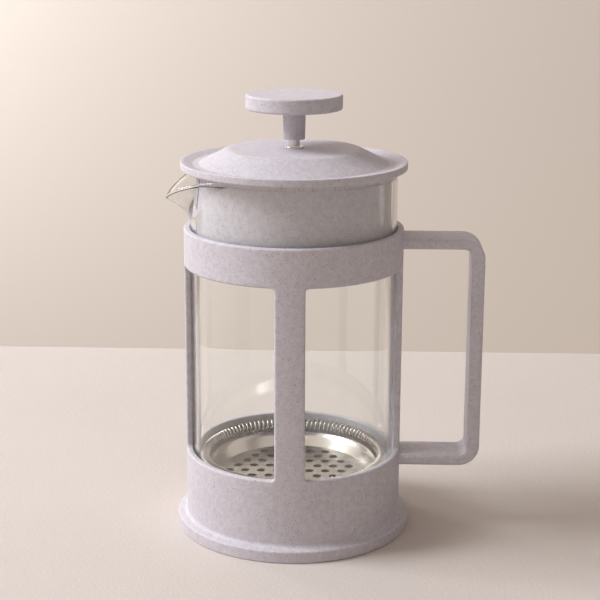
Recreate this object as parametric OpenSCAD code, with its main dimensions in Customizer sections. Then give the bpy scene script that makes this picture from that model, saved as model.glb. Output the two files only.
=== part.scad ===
// French press: a glass beaker in a moulded holder, with a lid and a plunger.
// Millimetres, +Z up. The origin is on the beaker's axis, on the table.
// The handle points to +X and the spout to -X.

/* [Quality] */
// Facets on a full turn of every round face
facets = 96; // [48:8:144]

/* [Beaker] */
// Outer diameter of the glass
glass_d = 89; // [70:0.5:110]
// Thickness of the glass wall
glass_wall = 2; // [1.5:0.1:3]
// Height of the beaker from its underside to its rim
glass_h = 149.5; // [120:0.5:190]
// Thickness of the beaker's bottom
glass_floor_t = 2.5; // [2:0.1:4]
// Outer radius between the beaker's wall and its bottom
glass_corner_r = 7; // [4:0.5:10]
// How far the spout's tip stands out from the wall
spout_reach = 11; // [7:0.2:14]
// How far the spout's tip lies below the rim
spout_drop = 13.5; // [6:0.5:16]
// How far the spout runs down the wall
spout_depth = 25; // [20:0.5:30]
// Angle from the spout's middle to where its edge leaves the rim
spout_half_angle = 36; // [28:1:42]

/* [Holder] */
// Gap between the glass and the holder, on the radius
holder_gap = 0.3; // [0.2:0.05:0.8]
// Thickness of the holder's wall
holder_wall = 2.7; // [2.2:0.1:4]
// Gap between the foot of the spout and the top of the band
band_gap = 0.2; // [0.2:0.1:12]
// Height of the upper band
band_h = 16.6; // [12:0.2:26]
// Height of the cup from the table to its rim
cup_h = 35.2; // [30:0.2:50]
// Number of upright struts between the cup and the band
strut_count = 4; // [4:4:8]
// Width of a strut
strut_w = 13; // [8:0.1:18]
// How far round from the middle of the back its strut stands, in degrees
back_strut_turn = 4; // [0:0.5:6]
// How far a strut's outer face lies inside the band's
strut_inset = 0.1; // [0:0.1:0.8]
// Fillet where a strut meets the band and the cup
strut_fillet = 1.8; // [0.5:0.1:4]
// Rounding of the band's lower outer edge
band_round = 1.8; // [0.5:0.1:2]
// Rounding of the holder's other edges
edge_round = 0.9; // [0.4:0.1:1]
// How far the foot stands out from the cup
foot_reach = 4; // [3.5:0.1:6]
// Height of the foot
foot_h = 5.5; // [4:0.1:8]
// Thickness of the holder's floor
floor_t = 2.6; // [2:0.1:4]
// Height of the seat ring that carries the beaker
seat_h = 9; // [7:0.5:12]
// Width of the seat ring
seat_w = 6; // [4:0.5:8]
// Number of ribs between the seat ring and the cup's wall
rib_count = 12; // [6:1:18]
// Thickness of a rib
rib_t = 1.6; // [1.2:0.1:2.4]
// Thickness of the soft ring between the seat and the glass
cushion_t = 1.5; // [1:0.1:2.5]

/* [Handle] */
// How far the grip's outer face stands out from the band
handle_reach = 34.7; // [30:0.5:48]
// Width of the strap across the handle
handle_w = 19.8; // [14:0.2:26]
// Thickness of the grip
grip_t = 5.6; // [4:0.1:8]
// Thickness of the two arms
arm_t = 4.4; // [4:0.1:7]
// Outer radius of the strap's bends
bend_outer_r = 9; // [6:0.5:14]
// Inner radius of the strap's bends
bend_inner_r = 3.6; // [2:0.2:6]
// How far the upper arm lies below the top of the band
upper_arm_drop = 3.5; // [2:0.1:6]
// How far the lower arm lies below the rim of the cup
lower_arm_drop = 1.4; // [1.2:0.1:4]
// Diameter of a handle screw
screw_d = 2.5; // [2:0.1:2.6]
// Diameter of a handle screw's countersunk head
screw_head_d = 4.6; // [4:0.1:5]
// Length of a handle screw
screw_l = 12; // [8:0.5:16]
// Distance between the two screws of one arm
screw_pitch = 11; // [8:0.5:12]

/* [Lid] */
// How far the lid's rim stands out past the glass
lid_reach = 4.1; // [2.5:0.1:6]
// Height of the lid's rim
lid_rim_h = 3.2; // [2.8:0.1:5]
// Depth of the trough inside the lid's rim
lid_trough = 1.2; // [0.4:0.1:1.4]
// Height of the dome above the top of the rim
dome_h = 5.1; // [4:0.1:12]
// Distance from the glass wall's outside in to the foot of the dome
dome_foot_in = 3.7; // [3:0.1:6]
// Width of the sloping side of the dome
dome_side_w = 11; // [8:0.5:18]
// Thickness of the lid
lid_wall = 2.2; // [1.8:0.1:3]
// Gap between the lid's rim and the glass rim
lid_gap = 0.2; // [0.1:0.05:0.5]
// Depth of the skirt below the glass rim
skirt_depth = 38; // [20:1:50]
// Thickness of the skirt
skirt_wall = 1.8; // [1.4:0.1:2.5]
// Gap between the skirt and the glass, on the radius
skirt_gap = 0.7; // [0.4:0.1:1.2]
// Number of pouring slots in the skirt
slot_count = 7; // [3:1:11]
// Width of a pouring slot
slot_w = 2; // [1.4:0.1:2.6]
// Height of a pouring slot
slot_h = 13; // [8:1:18]

/* [Plunger] */
// Diameter of the rod
rod_d = 4.8; // [4:0.1:6]
// Running gap between two turning or sliding steel faces, on the radius
run_gap = 0.05; // [0.02:0.01:0.09]
// Diameter of the knob's disc
knob_d = 41.3; // [30:0.5:50]
// Thickness of the knob's disc
knob_t = 6.4; // [5:0.2:10]
// Diameter of the knob's stem at its top
stem_d = 9.8; // [9.2:0.1:12]
// Height of the knob's stem
stem_h = 12.7; // [10:0.1:18]
// Gap between the knob and the ferrule with the plunger down
knob_gap = 3; // [1:0.1:8]
// Diameter of the ferrule's flange
ferrule_d = 8.3; // [8:0.1:12]
// Thickness of the ferrule's flange
ferrule_flange_t = 0.8; // [0.5:0.1:1.5]
// Wall of the ferrule's tube
ferrule_wall = 0.9; // [0.7:0.1:1]
// Thickness of the ferrule's nut
nut_t = 2.5; // [2:0.1:4]
// Width of the ferrule's nut across its flats
nut_w = 10; // [9:0.5:13]

/* [Filter] */
// Diameter of the coil spring's tube
coil_d = 5; // [4:0.1:6]
// Gap between the coil spring and the glass, on the radius
coil_gap = 0.15; // [0.1:0.05:0.3]
// Height of the coil's middle above the perforated plate's underside
coil_rise = 9.2; // [6:0.1:10]
// Thickness of the filter's sheet steel
sheet_t = 0.6; // [0.4:0.1:1]
// Diameter of a hole in the perforated plate
hole_d = 3.8; // [2.5:0.1:4.5]
// Distance between neighbouring holes
hole_pitch = 7.2; // [6:0.1:10]
// Thickness of the woven screen
mesh_t = 0.4; // [0.3:0.1:0.8]
// Gap between the woven screen and the glass, on the radius
mesh_gap = 0.5; // [0.3:0.1:1]
// Thickness of the cross plate
cross_t = 1; // [0.8:0.1:1.6]
// Number of spokes on the cross plate
spoke_count = 4; // [3:1:8]
// Width of a spoke
spoke_w = 8; // [5:0.5:10]
// Height of the hub under the cross plate
hub_h = 6; // [4:0.5:8]
// Diameter of the hub
hub_d = 10; // [8:0.5:14]
// Height of the collar above the perforated plate
collar_h = 4; // [3:0.5:6]
// Diameter of the collar
collar_d = 9.2; // [8:0.2:14]
// Gap between the hub and the beaker's bottom
hub_gap = 1.6; // [0.4:0.1:2]

/* [Hidden] */
$fn = facets;

plastic = [0.78, 0.75, 0.79];
steel = [0.72, 0.72, 0.70];
brass = [0.80, 0.68, 0.38];
clear_glass = [0.88, 0.92, 0.92, 0.35];
silicone = [0.90, 0.90, 0.88];
past = 1;                       // how far a cutting shape runs past a face

// Beaker
glass_r = glass_d / 2;
glass_in_r = glass_r - glass_wall;
glass_z = seat_h + cushion_t;
glass_floor_z = glass_z + glass_floor_t;
rim_z = glass_z + glass_h;
wall_mid_r = glass_r - glass_wall / 2;
spout_wall_shift = [1.7, 0, 1.5];   // moves the channel in from the outside by the spout's wall
spout_top_drop = 1.2;            // how far below the rim the spout's upper corners lie in the wall
spout_tip_r = glass_r + spout_reach;
spout_tip_z = rim_z - spout_drop;

// Holder
holder_in_r = glass_r + holder_gap;
holder_r = holder_in_r + holder_wall;
holder_h = rim_z - spout_depth - band_gap;
band_z = holder_h - band_h;
foot_r = holder_r + foot_reach;
foot_top_round = min(2, foot_reach / 2);
foot_fillet = foot_reach - foot_top_round - 0.4;
seat_out_r = glass_r - glass_corner_r - 0.5;
seat_in_r = seat_out_r - seat_w;

// Handle
handle_top_z = holder_h - upper_arm_drop;
handle_bottom_z = cup_h - lower_arm_drop - arm_t;
grip_out_x = holder_r + handle_reach;
grip_in_x = grip_out_x - grip_t;
screw_zs = [handle_top_z - arm_t / 2, handle_bottom_z + arm_t / 2];
screw_clearance = 0.15;         // gap around the shank in the holder, on the radius

// Lid
lid_z = rim_z + lid_gap;
lid_rim_z = lid_z + lid_rim_h;
lid_r = glass_r + lid_reach;
trough_z = lid_rim_z - lid_trough;
dome_z = lid_rim_z + dome_h;
dome_foot_r = glass_r - dome_foot_in;
dome_top_r = dome_foot_r - dome_side_w;
dome_crown = 0.2;               // rise of the flat top towards its middle
lip_w = 4.8;                    // width of the lip, from its outside down to the trough
lip_top_w = 1.4;                // width of the flat on top of the lip
lip_round = 0.6;                // rounding of the lid's outer edges
foot_run = 0.6;                 // half the width of the slope where the dome meets the trough
foot_rise = 0.5;                // height of that slope
dome_edge_w = 2;                // width of the soft break between the dome's side and top
dome_edge_h = 0.4;              // height of that break
dome_edge_in_w = 1.2;           // how far in the dome's inner break lies from the outer one
groove_h = 0.9;                 // depth of the groove that holds the skirt
skirt_r = glass_in_r - skirt_gap;
skirt_in_r = skirt_r - skirt_wall;
skirt_z = rim_z - skirt_depth;
groove_gap = 0.05;              // gap between the skirt and its groove
slot_step = 6.5;                // angle between neighbouring slots
slot_top_drop = 3;              // how far the slots end below the glass rim
slot_top_z = rim_z - slot_top_drop;

// Ferrule
rod_r = rod_d / 2;
ferrule_bore_r = rod_r + run_gap;
ferrule_r = ferrule_bore_r + ferrule_wall;
ferrule_top_z = dome_z + dome_crown + run_gap + ferrule_flange_t;
ferrule_below = 1.6;            // length of ferrule below the nut and the washer's seat
ferrule_z = dome_z - lid_wall - nut_t - ferrule_below;
washer_t = 0.8;
washer_land = 1.4;              // how far the washer shows round the nut
washer_r = nut_w / 2 + washer_land;
washer_z = dome_z + dome_crown - lid_wall - run_gap - washer_t;
boss_r = 8;                     // flat seat in the middle of the dome

// Filter stack, from the beaker's bottom up
hub_z = glass_floor_z + hub_gap;
cross_z = hub_z + hub_h;
mesh_z = cross_z + cross_t;
plate_z = mesh_z + mesh_t;
collar_z = plate_z + sheet_t;
coil_z = plate_z + coil_rise;
coil_r = coil_d / 2;
coil_mid_r = glass_in_r - coil_gap - coil_r;
flange_z = coil_z - sheet_t / 2;
flange_grip = 0.4;              // how far the flange reaches past the coil's middle, as a share of its radius
flange_r = coil_mid_r + flange_grip * coil_r;
sheet_bend = 0.6;               // size of the bevel where the dished sheet bends
plate_wall_r = coil_mid_r - coil_r - sheet_t - sheet_bend;
plate_floor_r = plate_wall_r - 2.4;
hole_land = 0.5;                // least metal between a hole and the collar or the floor's edge
hole_limit_r = plate_floor_r - hole_d / 2 - hole_land;
mesh_r = glass_in_r - mesh_gap;
hem_w = 1.2;                    // width of the screen's folded edge
hem_t = 0.15;                   // how far the hem stands below the screen
eyelet_r = collar_d / 2 + 1.2;
cross_r = plate_floor_r + 1.5;
cross_rim_w = 5;
cross_mid_r = hub_d / 2 + 4;
rod_z = hub_z + 1;
rod_thread_l = 9.5;             // length of rod held in the knob

// Knob
stem_z = ferrule_top_z + knob_gap;
disc_z = stem_z + stem_h;
insert_wall = 1;
insert_sink = 0.6;              // how far the insert lies inside the stem
insert_clear = 0.4;             // space above the end of the rod

// Waste outside a rounded outer corner of radius r, whose centre is at the origin.
module corner_waste(r) difference() {
    square(r + past);
    circle(r);
}

// Bar profile from [0, 0] to [w, h] with its four corners rounded.
module bar_profile(w, h, low_out, top_out, low_in, top_in) difference() {
    square([w, h]);
    translate([w - low_out, low_out]) mirror([0, 1]) corner_waste(low_out);
    translate([w - top_out, h - top_out]) corner_waste(top_out);
    translate([low_in, low_in]) rotate(180) corner_waste(low_in);
    translate([top_in, h - top_in]) mirror([1, 0]) corner_waste(top_in);
}

// Concave fillet of radius r that fills the corner at the origin.
module fillet(r) difference() {
    square(r);
    translate([r, r]) circle(r);
}

// Upright tube.
module tube(r_in, r_out, z, h) translate([0, 0, z]) difference() {
    cylinder(h = h, r = r_out);
    translate([0, 0, -past]) cylinder(h = h + 2 * past, r = r_in);
}

// Solid cylinder whose underside is at z.
module rod_solid(r, z, h) translate([0, 0, z]) cylinder(h = h, r = r);

module cup_profile() {
    translate([holder_in_r, 0])
        bar_profile(holder_wall, cup_h, edge_round / 4, edge_round, edge_round / 4, edge_round);
    square([holder_in_r + holder_wall / 2, floor_t]);
    translate([holder_in_r + holder_wall / 2, 0])
        bar_profile(foot_reach + holder_wall / 2, foot_h, edge_round, foot_top_round,
                    edge_round / 4, edge_round / 4);
    translate([holder_r, foot_h]) fillet(foot_fillet);
    translate([seat_in_r, floor_t / 2]) square([seat_w, seat_h - floor_t / 2]);
}

// Face of one strut, flared by a fillet at each end.
module strut_face() {
    length = band_z - cup_h;
    translate([-strut_w / 2, -past]) square([strut_w, length + 2 * past]);
    for (side = [0, 1], end = [0, 1])
        translate([0, end * length]) mirror([0, end]) mirror([side, 0])
            translate([strut_w / 2, 0]) fillet(strut_fillet);
}

module strut() intersection() {
    tube(holder_in_r, holder_r - strut_inset, cup_h - past, band_z - cup_h + 2 * past);
    translate([0, 0, cup_h]) rotate([90, 0, 90])
        linear_extrude(holder_r + past) strut_face();
}

module screw_hole(y, z) translate([0, y, z]) rotate([0, 90, 0]) {
    cylinder(h = holder_r + past, r = screw_d / 2 + screw_clearance);
    cylinder(h = holder_in_r, r = screw_head_d / 2 + screw_clearance);
    translate([0, 0, holder_in_r])
        cylinder(h = (screw_head_d - screw_d) / 2, r1 = screw_head_d / 2 + screw_clearance,
                 r2 = screw_d / 2 + screw_clearance);
}

module holder_frame() color(plastic) difference() {
    union() {
        rotate_extrude() cup_profile();
        rotate_extrude() translate([holder_in_r, band_z])
            bar_profile(holder_wall, band_h, band_round, edge_round, edge_round / 2, edge_round);
        for (i = [0 : strut_count - 1])
            rotate(i * 360 / strut_count + (i == strut_count / 4 ? back_strut_turn : 0)) strut();
        for (i = [0 : rib_count - 1]) rotate((i + 0.5) * 360 / rib_count)
            translate([seat_out_r - past, -rib_t / 2, floor_t / 2])
                cube([holder_in_r - seat_out_r + 2 * past, rib_t, (seat_h - floor_t) / 2]);
    }
    for (z = screw_zs, side = [-1, 1]) screw_hole(side * screw_pitch / 2, z);
}

// Side view of the strap, with x across and z up.
module handle_outline() difference() {
    translate([0, handle_bottom_z])
        bar_profile(grip_out_x, handle_top_z - handle_bottom_z,
                    bend_outer_r, bend_outer_r, edge_round, edge_round);
    translate([0, handle_bottom_z + arm_t])
        bar_profile(grip_in_x, handle_top_z - handle_bottom_z - 2 * arm_t,
                    bend_inner_r, bend_inner_r, edge_round, edge_round);
}

module handle() color(plastic) difference() {
    translate([0, handle_w / 2, 0]) rotate([90, 0, 0])
        linear_extrude(handle_w) handle_outline();
    rod_solid(holder_r, -past, holder_h + 2 * past);
    for (z = screw_zs, side = [-1, 1]) translate([0, side * screw_pitch / 2, z])
        rotate([0, 90, 0]) cylinder(h = holder_in_r + screw_l, r = screw_d / 2);
}

module handle_screw() {
    cylinder(h = screw_l, r = screw_d / 2);
    cylinder(h = (screw_head_d - screw_d) / 2, r1 = screw_head_d / 2, r2 = screw_d / 2);
}

module handle_screws() color(steel)
    for (z = screw_zs, side = [-1, 1])
        translate([holder_in_r, side * screw_pitch / 2, z]) rotate([0, 90, 0]) handle_screw();

module beaker_cushion() color(silicone)
    rotate_extrude() translate([seat_in_r, seat_h])
        bar_profile(seat_w, cushion_t, cushion_t / 4, cushion_t / 4, cushion_t / 4, cushion_t / 4);

module glass_outside() difference() {
    square([glass_r, glass_h]);
    translate([glass_r - glass_corner_r, glass_corner_r]) mirror([0, 1])
        corner_waste(glass_corner_r);
}

module glass_inside() difference() {
    translate([0, glass_floor_t]) square([glass_in_r, glass_h - glass_floor_t + past]);
    translate([glass_r - glass_corner_r, glass_corner_r]) mirror([0, 1])
        corner_waste(glass_corner_r - glass_wall);
}

// The spout is a three-sided wedge from the wall to its tip. Its corners on one side of the wall.
function spout_corner(side) =
    [-wall_mid_r * cos(spout_half_angle), side * wall_mid_r * sin(spout_half_angle), rim_z - spout_top_drop];
spout_points = [spout_corner(1), spout_corner(-1), [-spout_tip_r, 0, spout_tip_z],
                [-wall_mid_r, 0, rim_z - spout_depth]];

module spout_wedge()
    polyhedron(points = spout_points, faces = [[0, 1, 2], [0, 2, 3], [1, 3, 2], [0, 3, 1]]);

// The same wedge moved in and up by the spout's wall, and carried up past the rim.
module spout_channel() translate(spout_wall_shift) polyhedron(
    points = concat(spout_points, [for (i = [0 : 2])
        [spout_points[i].x, spout_points[i].y, rim_z + past]]),
    faces = [[0, 2, 3], [1, 3, 2], [0, 3, 1], [4, 5, 6],
             [0, 1, 5, 4], [1, 2, 6, 5], [2, 0, 4, 6]]);

module glass_beaker() color(clear_glass) difference() {
    union() {
        translate([0, 0, glass_z]) rotate_extrude() glass_outside();
        spout_wedge();
    }
    translate([0, 0, glass_z]) rotate_extrude() glass_inside();
    spout_channel();
}

// Half section of the lid, from its middle out to its rim.
module lid_profile() difference() {
    polygon([[0, lid_z], [lid_r, lid_z], [lid_r, lid_rim_z], [lid_r - lip_top_w, lid_rim_z],
             [lid_r - lip_w, trough_z], [dome_foot_r + foot_run, trough_z],
             [dome_foot_r - foot_run, trough_z + foot_rise],
             [dome_top_r, dome_z - dome_edge_h],
             [dome_top_r - dome_edge_w, dome_z], [boss_r, dome_z + dome_crown],
             [0, dome_z + dome_crown]]);
    translate([lid_r - lip_round, lid_rim_z - lip_round]) corner_waste(lip_round);
    translate([lid_r - lip_round, lid_z + lip_round]) mirror([0, 1]) corner_waste(lip_round);
    polygon([[-past, lid_z - past], [dome_foot_r - lid_wall, lid_z - past],
             [dome_foot_r - lid_wall, lid_z],
             [dome_top_r - dome_edge_in_w, dome_z - dome_edge_h - lid_wall],
             [boss_r, dome_z + dome_crown - lid_wall], [-past, dome_z + dome_crown - lid_wall]]);
}

module lid_cap() color(plastic) difference() {
    rotate_extrude() lid_profile();
    rod_solid(ferrule_r + run_gap, lid_z, dome_z);
    tube(skirt_in_r - groove_gap, skirt_r + groove_gap, lid_z - past, groove_h + groove_gap + past);
}

module lid_skirt() color(plastic) difference() {
    tube(skirt_in_r, skirt_r, skirt_z, lid_z + groove_h - skirt_z);
    for (i = [0 : slot_count - 1]) rotate(180 + (i - (slot_count - 1) / 2) * slot_step)
        translate([skirt_in_r - past, -slot_w / 2, slot_top_z - slot_h])
            cube([skirt_wall + 2 * past, slot_w, slot_h]);
}

module rod_ferrule() color(steel) difference() {
    union() {
        rod_solid(ferrule_r, ferrule_z, ferrule_top_z - ferrule_z);
        rotate_extrude() translate([0, ferrule_top_z - ferrule_flange_t])
            difference() {
                square([ferrule_d / 2, ferrule_flange_t]);
                translate([ferrule_d - ferrule_flange_t, ferrule_flange_t] / 2)
                    corner_waste(ferrule_flange_t / 2);
            }
    }
    rod_solid(ferrule_bore_r, ferrule_z - past, ferrule_top_z - ferrule_z + 2 * past);
}

module ferrule_washer() color(steel) tube(ferrule_r, washer_r, washer_z, washer_t);

module ferrule_nut() color(steel) translate([0, 0, washer_z - nut_t]) difference() {
    cylinder(h = nut_t, r = nut_w / sqrt(3), $fn = 6);
    translate([0, 0, -past]) cylinder(h = nut_t + 2 * past, r = ferrule_r);
}

module knob() color(plastic) difference() {
    union() {
        rotate_extrude() translate([0, disc_z]) difference() {
            square([knob_d / 2, knob_t]);
            translate([knob_d / 2 - edge_round, knob_t - edge_round]) corner_waste(edge_round);
            translate([knob_d / 2 - edge_round, edge_round]) mirror([0, 1])
                corner_waste(edge_round);
        }
        translate([0, 0, stem_z])
            cylinder(h = stem_h + edge_round, r1 = stem_d / 2 - 0.25, r2 = stem_d / 2);
        rotate_extrude() translate([stem_d / 2 - 0.05, disc_z]) mirror([0, 1]) fillet(edge_round);
    }
    rod_solid(rod_r + insert_wall, stem_z - past, past + insert_sink + rod_thread_l + insert_clear);
}

module knob_insert() color(brass)
    tube(rod_r, rod_r + insert_wall, stem_z + insert_sink, rod_thread_l - insert_sink);

module plunger_rod() color(steel) rod_solid(rod_r, rod_z, stem_z + rod_thread_l - rod_z);

module stop_collar() color(steel) tube(rod_r, collar_d / 2, collar_z, collar_h);

// Half section of the dished plate, from its bore to the flange inside the coil.
module plate_profile() polygon([
    [rod_r, plate_z], [plate_floor_r, plate_z], [plate_wall_r + sheet_t, flange_z - sheet_bend],
    [plate_wall_r + sheet_t + sheet_bend, flange_z], [flange_r, flange_z],
    [flange_r, flange_z + sheet_t], [plate_wall_r + sheet_bend, flange_z + sheet_t],
    [plate_wall_r, flange_z], [plate_floor_r - sheet_t, plate_z + sheet_t],
    [rod_r, plate_z + sheet_t]]);

// Centres of the holes: a triangular grid, kept clear of the collar and of the rim.
hole_rows = floor(hole_limit_r / (hole_pitch * sqrt(3) / 2));
hole_cols = ceil(hole_limit_r / hole_pitch);
hole_places = [for (row = [-hole_rows : hole_rows], col = [-hole_cols : hole_cols])
    let (x = (col + (row % 2 == 0 ? 0 : 0.5)) * hole_pitch, y = row * hole_pitch * sqrt(3) / 2)
        if (norm([x, y]) < hole_limit_r && norm([x, y]) > (collar_d + hole_d) / 2 + hole_land) [x, y]];

module spring_plate() color(steel) difference() {
    rotate_extrude() plate_profile();
    translate([0, 0, plate_z - past]) linear_extrude(sheet_t + 2 * past)
        for (place = hole_places) translate(place) circle(r = hole_d / 2, $fn = 24);
}

module coil_spring() color(steel) rotate_extrude() difference() {
    translate([coil_mid_r, coil_z]) circle(r = coil_r, $fn = 48);
    translate([coil_mid_r - coil_r - past, flange_z])
        square([flange_r - coil_mid_r + coil_r + past, sheet_t]);
}

module mesh_screen() color(steel) rotate_extrude() {
    translate([eyelet_r, mesh_z]) square([mesh_r - eyelet_r, mesh_t]);
    translate([mesh_r - hem_w, mesh_z - hem_t]) square([hem_w, mesh_t + 2 * hem_t]);
}

module mesh_eyelet() color(steel) tube(rod_r, eyelet_r, mesh_z, mesh_t);

module cross_plate() color(steel) difference() {
    rod_solid(cross_r, cross_z, cross_t);
    difference() {
        tube(cross_mid_r, cross_r - cross_rim_w, cross_z - past, cross_t + 2 * past);
        for (i = [0 : spoke_count - 1]) rotate(i * 360 / spoke_count)
            translate([0, -spoke_w / 2, cross_z - 2 * past])
                cube([cross_r, spoke_w, cross_t + 4 * past]);
    }
    rod_solid(rod_r, cross_z - past, cross_t + 2 * past);
}

module cross_hub() color(steel) difference() {
    rotate_extrude() translate([0, hub_z]) difference() {
        square([hub_d / 2, hub_h]);
        translate([hub_d / 2 - 1, 1]) mirror([0, 1]) corner_waste(1);
    }
    rod_solid(rod_r, rod_z, hub_h);
}

holder_frame();
handle();
handle_screws();
beaker_cushion();
glass_beaker();
lid_cap();
lid_skirt();
rod_ferrule();
ferrule_washer();
ferrule_nut();
knob();
knob_insert();
plunger_rod();
stop_collar();
spring_plate();
coil_spring();
mesh_screen();
mesh_eyelet();
cross_plate();
cross_hub();
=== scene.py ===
import math

import bmesh
import bpy
import numpy as np
from mathutils import Matrix, Vector


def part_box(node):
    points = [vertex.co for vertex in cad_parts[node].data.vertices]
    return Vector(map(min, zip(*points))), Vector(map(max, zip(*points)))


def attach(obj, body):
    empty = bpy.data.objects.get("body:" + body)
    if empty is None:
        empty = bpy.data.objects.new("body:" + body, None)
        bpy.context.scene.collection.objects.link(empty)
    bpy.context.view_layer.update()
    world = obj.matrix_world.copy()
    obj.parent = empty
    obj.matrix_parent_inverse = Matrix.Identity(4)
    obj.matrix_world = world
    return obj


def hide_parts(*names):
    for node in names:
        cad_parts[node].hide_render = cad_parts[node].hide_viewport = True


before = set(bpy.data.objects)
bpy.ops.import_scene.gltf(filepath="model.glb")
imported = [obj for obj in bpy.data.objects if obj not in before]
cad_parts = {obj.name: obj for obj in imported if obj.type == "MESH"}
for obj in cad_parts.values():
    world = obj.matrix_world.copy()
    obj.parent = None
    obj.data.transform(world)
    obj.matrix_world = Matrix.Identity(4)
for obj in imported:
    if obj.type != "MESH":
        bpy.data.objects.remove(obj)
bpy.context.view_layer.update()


# ---------------------------------------------------------------- the table, the room and its light
# A pale linen-covered table whose back edge shows behind the press, in front of a warm beige wall.
# One big soft window light comes from the left and front, and the walls of the room fill the shade.

def linear(hex_colour):
    """sRGB hex to linear RGBA: each channel c is c/12.92 below 0.04045 and ((c+0.055)/1.055)^2.4 above."""
    c = np.array([int(hex_colour[i:i + 2], 16) for i in (1, 3, 5)]) / 255
    c = np.where(c <= 0.04045, c / 12.92, ((c + 0.055) / 1.055) ** 2.4)
    return (*[float(x) for x in c], 1.0)


def add(material, kind, settings=None, **links):
    """One node of this kind. Settings are its own values or, by a socket's name, the socket's; a link's
    name is a socket's with spaces as underscores (or in_ and its number) and its value is an output."""
    node = material.node_tree.nodes.new(kind)
    for name, value in (settings or {}).items():
        if isinstance(name, int) or name in node.inputs:
            node.inputs[name].default_value = value
        else:
            setattr(node, name, value)
    for name, output in links.items():
        socket = node.inputs[int(name[3:])] if name.startswith("in_") else node.inputs[name.replace("_", " ")]
        material.node_tree.links.new(output, socket)
    return node


def new_material(name):
    """An empty material and its output node."""
    material = bpy.data.materials.new(name)
    material.use_nodes = True
    material.node_tree.nodes.clear()
    return material, material.node_tree.nodes.new("ShaderNodeOutputMaterial")


def close(material, shader, output):
    """Joins a shader to the material's output."""
    material.node_tree.links.new(shader, output.inputs["Surface"])


def put(name, points_mm, faces, material, sharp=35):
    """A mesh piece of these points, in millimetres, and faces: doubles are merged, faces turned outward, and
    edges sharper than this angle stay crisp."""
    mesh = bpy.data.meshes.new(name)
    mesh.from_pydata((np.asarray(points_mm, float) / 1000).tolist(), [], [list(f) for f in faces])
    skin = bmesh.new()
    skin.from_mesh(mesh)
    bmesh.ops.remove_doubles(skin, verts=skin.verts, dist=1e-6)
    bmesh.ops.recalc_face_normals(skin, faces=skin.faces)
    skin.to_mesh(mesh)
    skin.free()
    mesh.shade_smooth()
    mesh.set_sharp_from_angle(angle=math.radians(sharp))
    mesh.materials.append(material)
    piece = bpy.data.objects.new(name, mesh)
    bpy.context.scene.collection.objects.link(piece)
    return piece


def band_faces(rows, columns, wrap_rows=False, wrap_columns=True):
    """Quads of a grid of points kept row by row, closed round its columns, its rows or both."""
    r = np.arange(rows if wrap_rows else rows - 1)[:, None]
    c = np.arange(columns if wrap_columns else columns - 1)[None, :]
    r2, c2 = (r + 1) % rows, (c + 1) % columns
    corners = [r * columns + c, r * columns + c2, r2 * columns + c2, r2 * columns + c]
    return np.stack(np.broadcast_arrays(*corners), -1).reshape(-1, 4).tolist()


table_back, table_front, table_half, table_round, table_drop = 275, -1500, 1600, 9, 60      # mm
wall_y, wall_half, wall_low, wall_high = 1500, 2600, -900, 2600

# The bumps of the weave are drawn about 1.6 mm apart, and the slubs that cloud its colour about 110 mm.
linen, out = new_material("linen_tablecloth")
spot = add(linen, "ShaderNodeTexCoord").outputs["Object"]
weave = add(linen, "ShaderNodeTexNoise", {"Scale": 620.0, "Detail": 3.0}, Vector=spot)
slub = add(linen, "ShaderNodeTexNoise", {"Scale": 9.0, "Detail": 2.0}, Vector=spot)
tone = add(linen, "ShaderNodeMix", {"data_type": "RGBA", 6: linear("#CBC2BB"), 7: linear("#D3CAC3")},
           in_0=slub.outputs["Fac"])
ridge = add(linen, "ShaderNodeBump", {"Strength": 0.35, "Distance": 0.0006}, Height=weave.outputs["Fac"])
close(linen, add(linen, "ShaderNodeBsdfPrincipled", {"Roughness": 0.95, "Specular IOR Level": 0.2},
                 Base_Color=tone.outputs[2], Normal=ridge.outputs["Normal"]).outputs["BSDF"], out)
edge = np.radians(np.linspace(0, 90, 9))                   # a quarter round along the table's back
table_line = np.array([(table_front, 0)]
                      + [(table_back - table_round + table_round * math.sin(a),
                          -table_round + table_round * math.cos(a)) for a in edge]
                      + [(table_back, -table_drop)])
table_points = np.concatenate([np.column_stack([np.full(len(table_line), x), table_line])
                               for x in (-table_half, table_half)])
n_line = len(table_line)
cloth = put("table_cloth", table_points,
            [(i, i + n_line, i + n_line + 1, i + 1) for i in range(n_line - 1)], linen)

plaster, out = new_material("beige_wall_paint")
spot = add(plaster, "ShaderNodeTexCoord").outputs["Object"]
cloud = add(plaster, "ShaderNodeTexNoise", {"Scale": 1.3, "Detail": 1.0}, Vector=spot)
tone = add(plaster, "ShaderNodeMix", {"data_type": "RGBA", 6: linear("#E1D5C9"), 7: linear("#E6DBD0")},
           in_0=cloud.outputs["Fac"])
close(plaster, add(plaster, "ShaderNodeBsdfPrincipled", {"Roughness": 0.9, "Specular IOR Level": 0.2},
                   Base_Color=tone.outputs[2]).outputs["BSDF"], out)
wall = put("back_wall", [(-wall_half, wall_y, wall_low), (wall_half, wall_y, wall_low),
                         (wall_half, wall_y, wall_high), (-wall_half, wall_y, wall_high)],
           [(0, 1, 2, 3)], plaster)

room = bpy.data.worlds.new("room_fill")
room.use_nodes = True
# The fill is strongest from the window's side and from above, and weakest from the right and the front.
toward = add(room, "ShaderNodeVectorMath", {"operation": "DOT_PRODUCT", 1: (-0.85, 0.30, 0.43)},
             in_0=add(room, "ShaderNodeTexCoord").outputs["Generated"])
fill = add(room, "ShaderNodeMapRange", {"From Min": -1.0, "From Max": 1.0, "To Min": 0.19, "To Max": 0.64},
           Value=toward.outputs["Value"])
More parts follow.
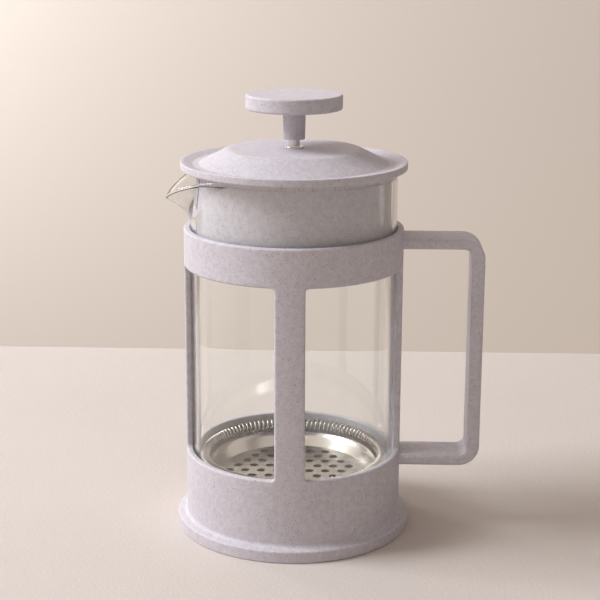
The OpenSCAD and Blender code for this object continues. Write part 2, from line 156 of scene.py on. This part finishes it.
# Glass and steel mirror a room that is brighter than the light it sheds on the table.
mirrored = add(room, "ShaderNodeMath", {"operation": "MULTIPLY_ADD", 1: 0.65},
               in_0=add(room, "ShaderNodeLightPath").outputs["Is Glossy Ray"], in_2=fill.outputs["Result"])
sky = room.node_tree.nodes["Background"]
sky.inputs["Color"].default_value = linear("#FFF2EA")
room.node_tree.links.new(mirrored.outputs["Value"], sky.inputs["Strength"])
bpy.context.scene.world = room


def lamp(name, place, aim, size, watts, colour):
    """A square soft light of this size and power at a place, aimed at a point, all in metres and watts."""
    light = bpy.data.lights.new(name, "AREA")
    light.shape, light.size, light.energy = "SQUARE", size, watts
    light.color = linear(colour)[:3]
    rig = bpy.data.objects.new(name, light)
    away = Vector(place) - Vector(aim)
    rig.matrix_world = Matrix.Translation(place) @ away.to_track_quat("Z", "Y").to_matrix().to_4x4()
    rig.visible_camera = False
    bpy.context.scene.collection.objects.link(rig)


lamp("window_light", (-1.41, -0.10, 1.36), (0, 0, 0.1), 0.8, 37, "#F6F9FF")
lamp("wall_light", (-1.15, 1.0, 0.62), (-0.55, 1.5, 0.16), 0.4, 13, "#F8FBFF")
lamp("floor_bounce", (0.45, 0.95, -0.45), (0.35, 1.5, -0.35), 0.6, 0.45, "#FFF2E8")

lens_mm, pitch, yaw, roll = 92.15, 14.5645, 1.663, 0.242                    # the angles in degrees
eye = (0.02163, -0.6496, 0.2705)
camera = bpy.data.objects.new("camera", bpy.data.cameras.new("camera"))
camera.data.lens = lens_mm
camera.matrix_world = (Matrix.Translation(eye) @ Matrix.Rotation(math.radians(yaw), 4, "Z")
                       @ Matrix.Rotation(math.radians(90 - pitch), 4, "X")
                       @ Matrix.Rotation(math.radians(roll), 4, "Z"))
bpy.context.scene.collection.objects.link(camera)
bpy.context.scene.camera = camera
bpy.context.scene.view_settings.view_transform = "Standard"


# ---------------------------------------------------------------- holder and handle
# Injection-moulded PP filled with wheat straw: matt lavender grey, mottled, with fine brown specks of
# straw in the wall and a slightly pebbled skin that softens every highlight.

def straw_plastic(name, base, shade):
    """Straw-filled PP: brown specks of straw 0.3 mm to 0.5 mm across in a faintly cloudy colour."""
    material, out = new_material(name)
    spot = add(material, "ShaderNodeTexCoord").outputs["Object"]
    cloud = add(material, "ShaderNodeTexNoise", {"Scale": 420.0, "Detail": 4.0, "Roughness": 0.65},
                Vector=spot)
    tone = add(material, "ShaderNodeMix", {"data_type": "RGBA", 6: linear(shade), 7: linear(base)},
               in_0=add(material, "ShaderNodeMapRange", {"From Min": 0.36, "From Max": 0.64},
                        Value=cloud.outputs["Fac"]).outputs["Result"])
    colour = tone.outputs[2]
    layers = [  # cells a metre, stretch, turn in degrees, speck edge as a share of a cell, strength, colour
        (1400.0, (1.0, 1.0, 1.0), (0, 0, 0), 0.29, 0.62, "#85767A"),
        (850.0, (1.0, 1.0, 0.8), (35, 20, 0), 0.20, 0.80, "#75655F"),
        (2300.0, (1.0, 0.8, 1.0), (60, 0, 40), 0.38, 0.30, "#908487"),
    ]
    bare_share, fade = 0.52, 0.55      # cells that have no speck, and how far in a speck is at full strength
    for cells, stretch, turn, edge_share, strength, speck in layers:
        turned_spot = add(material, "ShaderNodeMapping",
                          {"Rotation": [math.radians(a) for a in turn], "Scale": stretch}, Vector=spot)
        cell = add(material, "ShaderNodeTexVoronoi", {"Scale": cells}, Vector=turned_spot.outputs["Vector"])
        mask = add(material, "ShaderNodeMapRange",
                   {"From Min": edge_share, "From Max": edge_share * fade, "To Max": strength},
                   Value=cell.outputs["Distance"])
        kept = add(material, "ShaderNodeMath", {"operation": "GREATER_THAN", 1: bare_share},
                   in_0=add(material, "ShaderNodeSeparateColor",
                            Color=cell.outputs["Color"]).outputs["Red"])
        share = add(material, "ShaderNodeMath", {"operation": "MULTIPLY"},
                    in_0=mask.outputs["Result"], in_1=kept.outputs["Value"])
        colour = add(material, "ShaderNodeMix", {"data_type": "RGBA", 7: linear(speck)},
                     in_0=share.outputs["Value"], in_6=colour).outputs[2]
    grain = add(material, "ShaderNodeTexNoise", {"Scale": 1500.0, "Detail": 3.0}, Vector=spot)
    skin = add(material, "ShaderNodeBump", {"Strength": 0.22, "Distance": 0.0002},
               Height=grain.outputs["Fac"])
    gloss = add(material, "ShaderNodeMapRange", {"To Min": 0.5, "To Max": 0.68}, Value=cloud.outputs["Fac"])
    close(material, add(material, "ShaderNodeBsdfPrincipled", {"IOR": 1.49, "Specular IOR Level": 0.42},
                        Base_Color=colour, Roughness=gloss.outputs["Result"],
                        Normal=skin.outputs["Normal"]).outputs["BSDF"], out)
    return material


straw_pp = straw_plastic("straw_filled_pp", "#CFCBD1", "#C3BDC4")


def span(node):
    """Lowest and highest corner of a CAD node, in millimetres."""
    return [np.array(corner) * 1000 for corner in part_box(node)]


def rounded(corners, steps=7, hold=0.15):
    """Outline through these corners of radius, height and rounding: each rounded corner becomes an arc of
    that radius, touching both its sides, with one more point just outside each end to keep the sides flat."""
    corners = np.asarray(corners, float)
    line = []
    for before, (*here, radius), after in zip(np.roll(corners, 1, 0), corners, np.roll(corners, -1, 0)):
        here = np.array(here)
        if radius == 0:
            line.append(here)
            continue
        back, on = before[:2] - here, after[:2] - here
        back_length, on_length = np.linalg.norm(back), np.linalg.norm(on)
        back, on = back / back_length, on / on_length
        half = math.acos(np.clip(back @ on, -1, 1)) / 2
        reach = min(radius / math.tan(half), 0.48 * back_length, 0.48 * on_length)
        middle = (back + on) / np.linalg.norm(back + on)
        centre = here + middle * reach / math.cos(half)
        ends = [here + back * reach - centre, here + on * reach - centre]
        arc_radius = np.linalg.norm(ends[0])
        turn = math.acos(np.clip(ends[0] @ ends[1] / arc_radius ** 2, -1, 1))
        share = np.linspace(0, 1, steps)[:, None]
        arc = (np.sin((1 - share) * turn) * ends[0] + np.sin(share * turn) * ends[1]) / math.sin(turn)
        line.append(here + back * min(reach + hold, 0.49 * back_length))
        line.extend(centre + arc)
        line.append(here + on * min(reach + hold, 0.49 * on_length))
    return np.array(line)


def turned(line, columns=192):
    """Grid of points of an outline of radius and height turned round the upright axis: x = r cos a and
    y = r sin a at each of the even angles a."""
    angle = np.linspace(0, 2 * np.pi, columns, endpoint=False)[None, :]
    r, z = line[:, :1], line[:, 1:]
    return np.stack(np.broadcast_arrays(r * np.cos(angle), r * np.sin(angle), z), -1)


holder_high = span("holder_frame")[1]
wall_r, wall_in_r = 47.5, 44.8
cup_top, band_low, band_top, foot_r = 35.2, 118.2, holder_high[2], holder_high[1]
strut_half, corner_r, edge_r, inner_edge_r = 6.5, 1.6, 0.9, 0.5
corner_steps, side_steps, flat_steps, strut_steps = 9, 24, 33, 15
quarter = wall_r * np.pi / 2                      # length round the wall from one strut to the next
back_turn = 4.0                                   # degrees that the back strut stands off the middle
corner_turn = np.radians(np.linspace(0, 90, corner_steps))


def settled(turn):
    """Angles round the wall with the back strut and its corners turned by back_turn, and the windows at its
    sides stretched evenly to meet it."""
    plain = math.degrees((strut_half + corner_r + edge_r) / wall_r)
    return turn + np.interp(np.degrees(turn), [plain, 90 - plain, 90 + plain, 180 - plain],
                            np.radians([0, back_turn, back_turn, 0]), period=360)


def window_edge(grow):
    """Edge of a window grown by this much, as lengths round the wall from the window's middle and heights:
    an upright rectangle with rounded corners. Gives its right side upward, then the whole closed loop."""
    half, radius = quarter / 2 - strut_half + grow, corner_r + grow
    low, high = cup_top - grow, band_low + grow
    across = half - radius + radius * np.cos(corner_turn)
    up = radius * np.sin(corner_turn)
    straight = np.linspace(low + radius, high - radius, side_steps)[1:-1]
    side = np.column_stack([np.concatenate([across[::-1], np.full(side_steps - 2, half), across]),
                            np.concatenate([(low + radius - up)[::-1], straight, high - radius + up])])
    top = np.linspace(half - radius, radius - half, flat_steps)[1:-1]
    mirror = side[::-1] * [-1, 1]
    loop = np.concatenate([side, np.column_stack([top, np.full_like(top, high)]),
                           mirror, np.column_stack([-top, np.full_like(top, low)])])
    return side, loop


def skin_rows(line, grow):
    """Grid rows of one face of the holder's wall. Each row has a radius and a height; its columns are the
    four struts', which widen at the windows' corners, and the windows' between them."""
    side = window_edge(grow)[0]
    flat = quarter / 2 - strut_half - corner_r
    half = np.full(len(line), quarter / 2 - flat)
    in_window = np.isclose(line[:, 1][:, None], side[:, 1][None, :], atol=1e-6)
    rows = in_window.any(1)
    half[rows] = quarter / 2 - side[in_window.argmax(1)[rows], 0]
    strut = half[:, None] * np.linspace(-1, 1, strut_steps)[None, :]
    between = np.broadcast_to(quarter / 2 + np.linspace(-flat, flat, flat_steps)[None, 1:-1],
                              (len(line), flat_steps - 2))
    one = np.concatenate([strut, between], 1)
    turn = settled(np.concatenate([one + k * quarter for k in range(4)], 1) / wall_r)
    r, z = line[:, :1], line[:, 1:]
    return np.stack([r * np.cos(turn), r * np.sin(turn), np.broadcast_to(z, turn.shape)], -1)


outer_side, inner_side = window_edge(edge_r)[0][:, 1], window_edge(inner_edge_r)[0][:, 1]
base_t, seat_in_r, seat_out_r, seat_z = 2.6, 31.0, 37.0, 9.0      # the floor and the beaker's seat ring
cup_rows, cup_out_rows, band_rows = (12.0, 22.0, 30.0, 33.0), (33.0, 28.0, 18.0, 10.0), (120.5, 124.0, 129.0)
below_line = rounded([(0, 3.2, 0), (0, base_t, 0), (seat_in_r, base_t, 0.8), (seat_in_r + 0.2, seat_z, 0.3),
                      (seat_out_r, seat_z, 0.3), (seat_out_r + 0.2, 3.4, 0.6), (wall_in_r, 2.8, 1.5),
                      (wall_in_r, 60, 0), (0, 60, 0)], steps=5)[1:-2]
inside_line = np.concatenate([
    below_line, [(wall_in_r, z) for z in cup_rows],
    np.column_stack([np.full(len(inner_side), wall_in_r), inner_side]),
    [(wall_in_r, z) for z in band_rows]])
rim_line = rounded([(wall_in_r, 100, 0), (wall_in_r, band_top, 0.5), (wall_r, band_top, 0.8),
                    (wall_r, 100, 0)])[1:-1]
foot_in_z, foot_out_z = 5.9, 5.3                          # the foot's top slopes out and down a little
foot_line = rounded([(wall_r, 60, 0), (wall_r, foot_in_z, 1.7), (foot_r, foot_out_z, 0.8), (foot_r, 0, 0.6),
                     (0, 0, 0), (0, 60, 0)])[1:-1]
outside_line = np.concatenate([
    [(wall_r, z) for z in band_rows[::-1]],
    np.column_stack([np.full(len(outer_side), wall_r), outer_side[::-1]]),
    [(wall_r, z) for z in cup_out_rows], foot_line])
up_rows, rim_rows, down_rows = (skin_rows(inside_line, inner_edge_r), skin_rows(rim_line, edge_r),
                                skin_rows(outside_line, edge_r))
grid = np.concatenate([up_rows, rim_rows, down_rows])
rows, columns = grid.shape[:2]
faces = np.array(band_faces(rows, columns)).reshape(rows - 1, columns, 4)
column = np.arange(columns) % (columns // 4)
in_gap = column >= strut_steps - 1
first_in = len(below_line) + len(cup_rows)
first_out = len(inside_line) + len(rim_line) + len(band_rows)
open_rows = np.zeros(rows - 1, bool)
open_rows[first_in:first_in + len(inner_side) - 1] = True
open_rows[first_out:first_out + len(outer_side) - 1] = True
kept = ~(open_rows[:, None] & in_gap[None, :])
holder_points, holder_faces = [grid.reshape(-1, 3)], [faces[kept]]

# Each window's edge: from the outer face over a quarter round, in through the wall, and over a smaller
# quarter round to the inner face.
outer_turn, inner_turn = np.radians(np.linspace(0, 90, 7)), np.radians(np.linspace(0, 90, 5))
edge_path = [(edge_r * (1 - math.sin(a)), wall_r - edge_r * (1 - math.cos(a))) for a in outer_turn]
edge_path += [(inner_edge_r * (1 - math.cos(a)), wall_in_r + inner_edge_r * (1 - math.sin(a)))
              for a in inner_turn]
for k in range(4):
    strip = []
    for grow, radius in edge_path:
        loop = window_edge(grow)[1]
        turn = settled((quarter / 2 + k * quarter + loop[:, 0]) / wall_r)
        strip.append(np.stack([radius * np.cos(turn), radius * np.sin(turn), loop[:, 1]], -1))
    strip = np.array(strip)
    start = sum(len(p) for p in holder_points)
    holder_faces.append(np.array(band_faces(*strip.shape[:2])) + start)
    holder_points.append(strip.reshape(-1, 3))

# Twelve thin ribs stand under the beaker's seat, from the seat ring out to the wall.
rib_half, rib_low, rib_high, rib_in_r, rib_out_r = 0.8, 2.0, 7.5, seat_out_r - 0.2, wall_in_r + 0.2
rib = np.array([(r, y, z) for z in (rib_low, rib_high) for r, y in
                ((rib_in_r, -rib_half), (rib_out_r, -rib_half), (rib_out_r, rib_half), (rib_in_r, rib_half))])
rib_faces = np.array([(0, 3, 2, 1), (4, 5, 6, 7), (0, 1, 5, 4), (1, 2, 6, 5), (2, 3, 7, 6), (3, 0, 4, 7)])
for a in np.radians(np.arange(15, 375, 30)):
    start = sum(len(p) for p in holder_points)
    turn = np.array([[math.cos(a), math.sin(a), 0], [-math.sin(a), math.cos(a), 0], [0, 0, 1]])
    holder_faces.append(rib_faces + start)
    holder_points.append(rib @ turn)
holder = put("holder", np.concatenate(holder_points), np.concatenate(holder_faces).tolist(), straw_pp,
             sharp=50)
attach(holder, "holder")
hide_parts("holder_frame")


def finish_node(node, material):
    """Gives a CAD node that stays in view its finish."""
    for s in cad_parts[node].material_slots:
        s.material = material


# The handle is one strap with rounded edges, bent at two corners. Its ends butt against the band and the
# cup, where two screws an arm hold it from inside.
handle_low, handle_high = span("handle")
grip_x, strap_half, strap_low, strap_high = handle_high[0], handle_high[1], handle_low[2], handle_high[2]
arm_t, grip_t, outer_bend, inner_bend = 4.4, 5.6, 9.0, 3.6
strap_start, strap_edge, edge_hold = 46.2, 1.2, 0.15
strap_out = rounded([(strap_start, strap_high, 0), (grip_x, strap_high, outer_bend),
                     (grip_x, strap_low, outer_bend), (strap_start, strap_low, 0)], steps=15)
strap_in = rounded([(strap_start, strap_high - arm_t, 0), (grip_x - grip_t, strap_high - arm_t, inner_bend),
                    (grip_x - grip_t, strap_low + arm_t, inner_bend), (strap_start, strap_low + arm_t, 0)],
                   steps=15)
# Its section is a rounded rectangle: a quarter round at each corner, with a point just past both its ends.
thick = np.linalg.norm(strap_out - strap_in, axis=1, keepdims=True)
through = (strap_out - strap_in) / thick
section_turn = np.radians([k * 90 + a for k in range(4) for a in (0, *range(0, 91, 15), 90)])[None, :]
past_end = np.tile([-edge_hold, *[0] * 7, edge_hold], 4)[None, :]
side_x, side_y = np.repeat([(1, 1), (-1, 1), (-1, -1), (1, -1)], 9, axis=0).T[:, None, :]
up_through = (thick / 2 + side_x * (thick / 2 - strap_edge) + strap_edge * np.cos(section_turn)
              - past_end * np.sin(section_turn))
across = np.broadcast_to(side_y * (strap_half - strap_edge) + strap_edge * np.sin(section_turn)
                         + past_end * np.cos(section_turn), up_through.shape)
grid = np.stack([strap_in[:, :1] + through[:, :1] * up_through, across,
                 strap_in[:, 1:] + through[:, 1:] * up_through], -1)
rows, columns = grid.shape[:2]
ends = [list(range(columns)), list(range((rows - 1) * columns, rows * columns))]
strap = put("handle_strap", grid.reshape(-1, 3), band_faces(rows, columns) + ends, straw_pp, sharp=50)
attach(strap, "holder")
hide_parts("handle")

for node in ("lid_skirt", "knob"):
    finish_node(node, straw_pp)


# ---------------------------------------------------------------- glass beaker
# Mould-blown borosilicate glass, 2 mm thick, with a rounded heel, a fire-polished rim that stands a
# little proud, and a pouring lip pulled out of the rim on the side away from the handle.

def clear_glass(name):
    """Clear borosilicate: smooth, IOR 1.47, and light goes straight through to what is inside."""
    material, out = new_material(name)
    body = add(material, "ShaderNodeBsdfPrincipled",
               {"Base Color": linear("#FEFFFE"), "Roughness": 0.0, "IOR": 1.47, "Transmission Weight": 1.0})
    clear = add(material, "ShaderNodeBsdfTransparent", {"Color": linear("#FBFCFB")})
    path = add(material, "ShaderNodeLightPath")
    passing = add(material, "ShaderNodeMath", {"operation": "MAXIMUM"},
                  in_0=path.outputs["Is Shadow Ray"], in_1=path.outputs["Is Diffuse Ray"])
    both = add(material, "ShaderNodeMixShader", in_0=passing.outputs["Value"],
               in_1=body.outputs["BSDF"], in_2=clear.outputs["BSDF"])
    close(material, both.outputs["Shader"], out)
    return material


borosilicate = clear_glass("borosilicate_glass")
glass_low, glass_high = span("glass_beaker")
glass_r, glass_wall, heel_r = 44.5, 2.0, 7.0
bead_r, lip_bead_r = 1.35, 0.60                     # the rim is thinner along the pouring lip
rim_z = glass_high[2]
wall_top, plain_top = rim_z - 2.5, 132.0                         # the wall is reshaped above plain_top
lip_half_angle, lip_reach, lip_drop, lip_root_z = math.radians(53), 11.4, 12.5, 134.0
drop_power, reach_power, root_power, flare_power = 1.414, 0.686, 1.25, 2.3
tip_round, thin_share, glass_columns, floor_flat_r = 0.035, 0.55, 288, 20
bead_inset, bead_sink, root_gap, lip_soft, thin_rate = 0.05, 0.15, 0.5, 0.1, 4

heights = np.concatenate([np.linspace(glass_low[2] + heel_r, plain_top - 2, 8),
                          np.linspace(plain_top, wall_top, 37)])
heel = np.radians(np.linspace(-90, 0, 12))
outside = np.concatenate([
    [(0, glass_low[2]), (floor_flat_r, glass_low[2])],
    np.column_stack([glass_r - heel_r + heel_r * np.cos(heel),
                     glass_low[2] + heel_r + heel_r * np.sin(heel)]),
    np.column_stack([np.full(len(heights) - 1, glass_r), heights[1:]])])
bead_angle = np.radians(np.linspace(-30, 210, 17))[:, None]
heel_in_r, floor_t = heel_r - glass_wall, 2.5
inside = np.concatenate([
    np.column_stack([np.full(len(heights), glass_r - glass_wall), heights[::-1]]),
    np.column_stack([glass_r - glass_wall - heel_in_r + heel_in_r * np.cos(heel[::-1]),
                     glass_low[2] + floor_t + heel_in_r + heel_in_r * np.sin(heel[::-1])])[1:],
    [(floor_flat_r, glass_low[2] + floor_t), (0, glass_low[2] + floor_t)]])
side_angle = np.linspace(-np.pi, np.pi, glass_columns, endpoint=False)[None, :]
off_lip = np.sqrt(side_angle ** 2 + tip_round ** 2) - tip_round  # rounds the lip's very tip
share = np.clip(1 - off_lip / lip_half_angle, 0, 1)
share = (1 + lip_soft) * share ** 2 / (share + lip_soft)         # lets the lip leave the rim softly
drawn_out = np.clip(share * thin_rate, 0, 1)                     # how far the glass is drawn thin here
bead = bead_r + (lip_bead_r - bead_r) * drawn_out
r = np.concatenate([np.broadcast_to(outside[:, :1], (len(outside), glass_columns)),
                    glass_r - glass_wall / 2 - bead_inset + bead * np.cos(bead_angle),
                    np.broadcast_to(inside[:, :1], (len(inside), glass_columns))])
z = np.concatenate([np.broadcast_to(outside[:, 1:], (len(outside), glass_columns)),
                    rim_z - bead + bead * np.sin(bead_angle),
                    np.broadcast_to(inside[:, 1:], (len(inside), glass_columns))])
edge_z = rim_z - 1.5 * bead - bead_sink                          # where the wall meets the rim's bead
z = np.where(z > plain_top, plain_top + (z - plain_top) * (edge_z - plain_top) / (wall_top - plain_top), z)
bead_rows = slice(len(outside), len(outside) + len(bead_angle))
z[bead_rows] = rim_z - bead + bead * np.sin(bead_angle)
# The lip: the rim's height falls as share^1.4 and its radius grows as share^0.7; below it the wall leaves
# the cylinder at a root line that falls towards the middle, and flares as the 2.3rd power of the way up.
lip_z = edge_z - lip_drop * share ** drop_power
lip_out = lip_reach * share ** reach_power
root_z = lip_root_z + (edge_z - root_gap - lip_root_z) * (1 - share) ** root_power
way_up = np.clip((z - root_z) / (edge_z - root_z), 0, 1)
way_up[bead_rows] = 1
z_pulled = np.where(z > root_z, root_z + way_up * (lip_z - root_z), z)
z_pulled[bead_rows] = z[bead_rows] - lip_drop * share ** drop_power
middle_r, thinned = glass_r - glass_wall / 2, 1 - thin_share * drawn_out * way_up
thinned[bead_rows] = 1
r_pulled = middle_r + (r - middle_r) * thinned + lip_out * way_up ** flare_power
grid = np.stack(np.broadcast_arrays(-r_pulled * np.cos(side_angle), -r_pulled * np.sin(side_angle),
                                    z_pulled), -1)
beaker = put("beaker", grid.reshape(-1, 3), band_faces(*grid.shape[:2]), borosilicate, sharp=60)
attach(beaker, "beaker")
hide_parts("glass_beaker")


# ---------------------------------------------------------------- lid
# The cap is moulded from the same straw-filled plastic: a raised lip, a shallow trough and a low dome
# with soft edges. Its skirt is pressed into a groove under the cap and hangs inside the glass.

lid_low, lid_high = span("lid_cap")
skirt_high = span("lid_skirt")[1]
lip_r, lip_low, lip_top, crown_z = lid_high[0], lid_low[2], lid_low[2] + 3.2, lid_high[2]
groove_r, groove_in_r, cap_wall, bore_r = skirt_high[0] + 0.05, skirt_high[0] - 1.85, 2.2, 3.4
crown_r, dome_r, dome_in_r, trough_r, trough_out_r, under_r = 8.0, 28.6, 28.0, 40.8, 43.4, 38.6
cap_line = rounded([
    (bore_r, crown_z, 0.3), (crown_r, crown_z, 20), (dome_r, crown_z - 0.2, 7),
    (trough_r, lip_top - 1.15, 1.4), (trough_out_r, lip_top - 1.2, 1.4), (lip_r - 1.2, lip_top - 0.05, 0.6),
    (lip_r, lip_top, 0.45), (lip_r, lip_low, 0.6), (groove_r, lip_low, 0.2), (groove_r, skirt_high[2], 0),
    (groove_in_r, skirt_high[2], 0), (groove_in_r, lip_low, 0.2), (under_r, lip_low, 1.0),
    (dome_in_r, crown_z - cap_wall - 0.4, 6), (crown_r, crown_z - cap_wall, 20),
    (bore_r, crown_z - cap_wall, 0.2)])
grid = turned(cap_line)
cap = put("lid_dome", grid.reshape(-1, 3), band_faces(*grid.shape[:2], wrap_rows=True), straw_pp, sharp=50)
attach(cap, "lid")
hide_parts("lid_cap")


# ---------------------------------------------------------------- filter spring
# A coil of 0.84 mm stainless wire, wound open and joined into a ring that lies on the dished plate's rim.
# It springs outward against the glass and keeps the filter's edge sealed.

def metal(name, colour, rough_low, rough_high, grain, depth):
    """Bare stainless steel: grain is the size in mm of its finest marks, depth the height they stand."""
    material, out = new_material(name)
    spot = add(material, "ShaderNodeTexCoord").outputs["Object"]
    marks = add(material, "ShaderNodeTexNoise", {"Scale": 1000 / grain, "Detail": 3.0}, Vector=spot)
    gloss = add(material, "ShaderNodeMapRange", {"To Min": rough_low, "To Max": rough_high},
                Value=marks.outputs["Fac"])
    skin = add(material, "ShaderNodeBump", {"Strength": 0.4, "Distance": depth / 1000},
               Height=marks.outputs["Fac"])
    close(material, add(material, "ShaderNodeBsdfPrincipled", {"Base Color": linear(colour), "Metallic": 1.0},
                        Roughness=gloss.outputs["Result"],
                        Normal=skin.outputs["Normal"]).outputs["BSDF"], out)
    return material


spring_wire = metal("drawn_spring_wire", "#C6C0B8", 0.16, 0.26, 1.5, 0.002)
coil_low, coil_high = span("coil_spring")
wire_r, turns, turn_steps, wire_sides = 0.42, 112, 20, 8
tube_r = (coil_high[2] - coil_low[2]) / 2
ring_r, ring_z, wind_r = coil_high[0] - tube_r, (coil_high[2] + coil_low[2]) / 2, tube_r - wire_r
along = np.linspace(0, 2 * np.pi, turns * turn_steps, endpoint=False)
wound = along * turns
# The wire's middle goes round the ring once while it goes round the ring's tube once for each turn.
middle = np.stack([(ring_r + wind_r * np.cos(wound)) * np.cos(along),
                   (ring_r + wind_r * np.cos(wound)) * np.sin(along),
                   ring_z + wind_r * np.sin(wound)], -1)
ahead = np.roll(middle, -1, 0) - np.roll(middle, 1, 0)
ahead /= np.linalg.norm(ahead, axis=1, keepdims=True)
outward = middle - np.stack([ring_r * np.cos(along), ring_r * np.sin(along), np.full_like(along, ring_z)], -1)
outward -= (outward * ahead).sum(1, keepdims=True) * ahead
outward /= np.linalg.norm(outward, axis=1, keepdims=True)
beside = np.cross(ahead, outward)
around = np.linspace(0, 2 * np.pi, wire_sides, endpoint=False)[None, :, None]
grid = middle[:, None] + wire_r * (np.cos(around) * outward[:, None] + np.sin(around) * beside[:, None])
coil = put("filter_coil", grid.reshape(-1, 3), band_faces(*grid.shape[:2], wrap_rows=True), spring_wire,
           sharp=80)
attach(coil, "plunger")
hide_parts("coil_spring")


# ---------------------------------------------------------------- rod, ferrule and knob insert
# The rod is drawn and polished stainless steel, screwed into a brass insert moulded into the knob. It slides
# through a turned ferrule whose flange sits on the lid, held below by a washer and a nut.

polished = metal("polished_stainless", "#CBC8C4", 0.09, 0.16, 2.5, 0.0005)
for node in ("plunger_rod", "rod_ferrule", "ferrule_washer", "ferrule_nut", "stop_collar", "cross_hub"):
    finish_node(node, polished)
finish_node("knob_insert", metal("turned_brass", "#C8A66A", 0.18, 0.30, 0.6, 0.004))
finish_node("handle_screws", metal("screw_stainless", "#B9B6B1", 0.18, 0.30, 0.8, 0.002))


# ---------------------------------------------------------------- filter plates and screen
# The dished plate with its two rings of holes and the cross plate are pressed from stainless sheet, which
# keeps a soft satin from the rolls. The screen clamped between them is woven from fine stainless wire.

pressed = metal("pressed_stainless_sheet", "#BDB8B1", 0.20, 0.30, 2.0, 0.0008)
for node in ("cross_plate", "mesh_eyelet"):
    finish_node(node, pressed)

# The dished plate keeps its CAD floor and holes. Above the floor its heights are pressed down evenly, so that
# its rim lies just under the coil's turns, which show all round it.
dish = bmesh.new()
dish.from_mesh(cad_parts["spring_plate"].data)
bmesh.ops.remove_doubles(dish, verts=dish.verts, dist=1e-6)
dish.verts.index_update()
dish_points = np.array([v.co for v in dish.verts]) * 1000
dish_faces = [[v.index for v in f.verts] for f in dish.faces]
dish.free()
sheet_t, rim_clear = 0.6, 0.3
floor_top, rim_top = dish_points[:, 2].min() + sheet_t, coil_low[2] - rim_clear
above = np.maximum(dish_points[:, 2] - floor_top, 0)
dish_points[:, 2] -= above * (1 - (rim_top - floor_top) / above.max())
plate = put("filter_dish", dish_points, dish_faces, pressed, sharp=30)
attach(plate, "plunger")
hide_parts("spring_plate")

wire_pitch = 0.9               # mm; such a screen has a wire every 0.3 mm or so, too fine to be seen
screen_steel, out = new_material("woven_stainless_screen")
spot = add(screen_steel, "ShaderNodeTexCoord").outputs["Object"]
# A wave texture repeats every 2 pi / (20 scale) metres.
wires = [add(screen_steel, "ShaderNodeTexWave",
             {"bands_direction": way, "Scale": 2 * math.pi * 1000 / (20 * wire_pitch)},
             Vector=spot) for way in ("X", "Y")]
# Painted shade: the hollows between the wires are coloured near black and the wire crests steel grey,
# standing in for the shade in the gaps of the weave; the same heights give the bump.
weave_height_and_gap_shade = add(screen_steel, "ShaderNodeMath", {"operation": "MAXIMUM"},
                   in_0=wires[0].outputs["Fac"], in_1=wires[1].outputs["Fac"])
tone = add(screen_steel, "ShaderNodeMix", {"data_type": "RGBA", 6: linear("#1E1D1B"), 7: linear("#6E6A65")},
           in_0=weave_height_and_gap_shade.outputs["Value"])
weave = add(screen_steel, "ShaderNodeBump", {"Strength": 0.8, "Distance": 0.0002},
            Height=weave_height_and_gap_shade.outputs["Value"])
close(screen_steel, add(screen_steel, "ShaderNodeBsdfPrincipled", {"Metallic": 1.0, "Roughness": 0.34},
                        Base_Color=tone.outputs[2], Normal=weave.outputs["Normal"]).outputs["BSDF"], out)
finish_node("mesh_screen", screen_steel)


# ---------------------------------------------------------------- beaker cushion
# A soft moulded silicone ring on the seat in the cup. It carries the glass and is slightly cloudy, with a
# low sheen from its mould.

silicone, out = new_material("moulded_silicone")
spot = add(silicone, "ShaderNodeTexCoord").outputs["Object"]
bloom = add(silicone, "ShaderNodeTexNoise", {"Scale": 350.0, "Detail": 3.0}, Vector=spot)
tone = add(silicone, "ShaderNodeMix", {"data_type": "RGBA", 6: linear("#D9D6D1"), 7: linear("#E2E0DC")},
           in_0=bloom.outputs["Fac"])
gloss = add(silicone, "ShaderNodeMapRange", {"To Min": 0.38, "To Max": 0.55}, Value=bloom.outputs["Fac"])
close(silicone, add(silicone, "ShaderNodeBsdfPrincipled", {"IOR": 1.41, "Subsurface Weight": 0.3,
                                                           "Subsurface Scale": 0.002},
                    Base_Color=tone.outputs[2], Roughness=gloss.outputs["Result"]).outputs["BSDF"], out)
finish_node("beaker_cushion", silicone)
